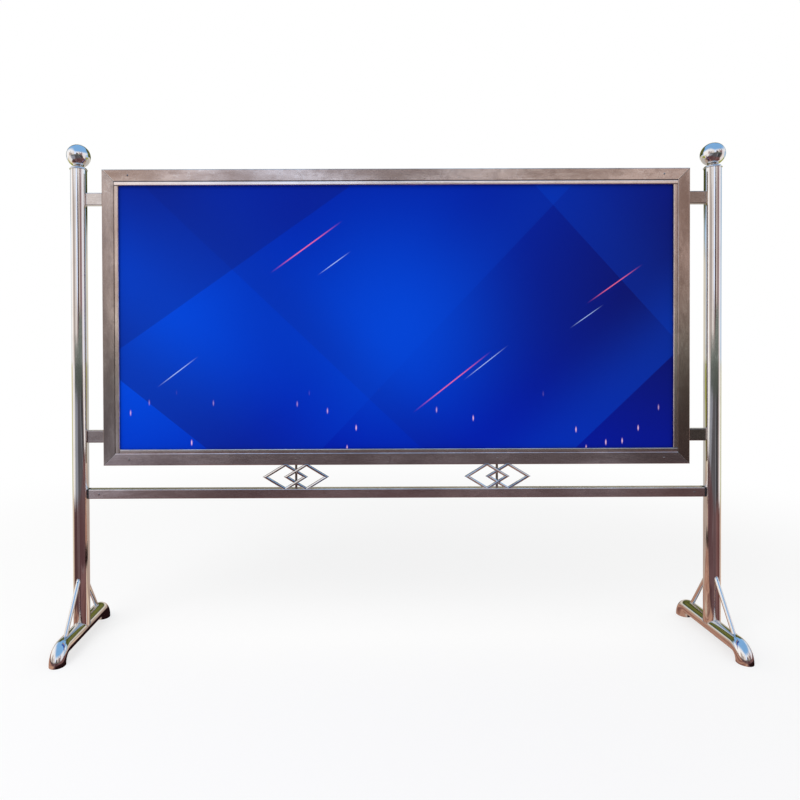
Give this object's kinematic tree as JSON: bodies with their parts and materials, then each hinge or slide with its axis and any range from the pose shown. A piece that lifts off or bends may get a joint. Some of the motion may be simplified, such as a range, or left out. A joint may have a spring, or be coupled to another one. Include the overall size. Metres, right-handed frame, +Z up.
{
  "type": "free-standing notice board",
  "caption": "Wide outdoor notice board: framed panel hung between round steel posts on bent-tube feet with braces, ball finials, and a crossbar carrying interlocked rhombi.",
  "frame": {"origin": "on the ground, midway between the two posts and between the front and rear toes", "axes": "+X runs along the board, to the right as seen from the front; -Y points out of the front face, +Y to the back; +Z is up"},
  "size_m": [2.6814, 0.4576, 2.0242],
  "materials": {
    "polished_steel": "mirror-polished stainless steel tube",
    "satin_steel": "bright stainless steel with fine lengthwise drawing lines",
    "bright_bead": "bright rolled stainless steel strip",
    "screw_steel": "plain stainless steel screw",
    "zinc_steel": "galvanised steel, matt",
    "black_rubber": "black moulded rubber",
    "printed_sheet": "blue printed film, semi-gloss",
    "plastic_board": "foamed plastic board"
  },
  "bodies": {
    "root": {"left_post": "polished_steel", "right_post": "polished_steel", "left_finial_cap": "polished_steel", "right_finial_cap": "polished_steel", "left_finial_ball": "polished_steel", "right_finial_ball": "polished_steel", "left_foot_tube": "polished_steel", "right_foot_tube": "polished_steel", "left_front_toe": "polished_steel", "left_rear_toe": "polished_steel", "right_front_toe": "polished_steel", "right_rear_toe": "polished_steel", "left_front_brace": "polished_steel", "left_rear_brace": "polished_steel", "right_front_brace": "polished_steel", "right_rear_brace": "polished_steel", "top_rail": "satin_steel", "bottom_rail": "satin_steel", "left_rail": "satin_steel", "right_rail": "satin_steel", "left_upper_connector": "satin_steel", "left_lower_connector": "satin_steel", "right_upper_connector": "satin_steel", "right_lower_connector": "satin_steel", "crossbar": "satin_steel", "left_ornament_left_rhombus": "satin_steel", "left_ornament_right_rhombus": "satin_steel", "right_ornament_left_rhombus": "satin_steel", "right_ornament_right_rhombus": "satin_steel", "left_ornament_rod": "satin_steel", "right_ornament_rod": "satin_steel", "front_top_bead": "bright_bead", "front_bottom_bead": "bright_bead", "front_left_bead": "bright_bead", "front_right_bead": "bright_bead", "rear_top_bead": "bright_bead", "rear_bottom_bead": "bright_bead", "rear_left_bead": "bright_bead", "rear_right_bead": "bright_bead", "left_top_corner_screw": "screw_steel", "left_bottom_corner_screw": "screw_steel", "left_rod_screw": "screw_steel", "right_top_corner_screw": "screw_steel", "right_bottom_corner_screw": "screw_steel", "right_rod_screw": "screw_steel", "left_crossbar_screw": "screw_steel", "right_crossbar_screw": "screw_steel", "back_sheet": "zinc_steel", "left_bottom_corner_key": "zinc_steel", "left_top_corner_key": "zinc_steel", "right_bottom_corner_key": "zinc_steel", "right_top_corner_key": "zinc_steel", "left_crossbar_spigot": "zinc_steel", "right_crossbar_spigot": "zinc_steel", "left_saddle": "black_rubber", "right_saddle": "black_rubber", "poster_sheet": "printed_sheet", "backing_board": "plastic_board"}
  },
  "joints": []
}
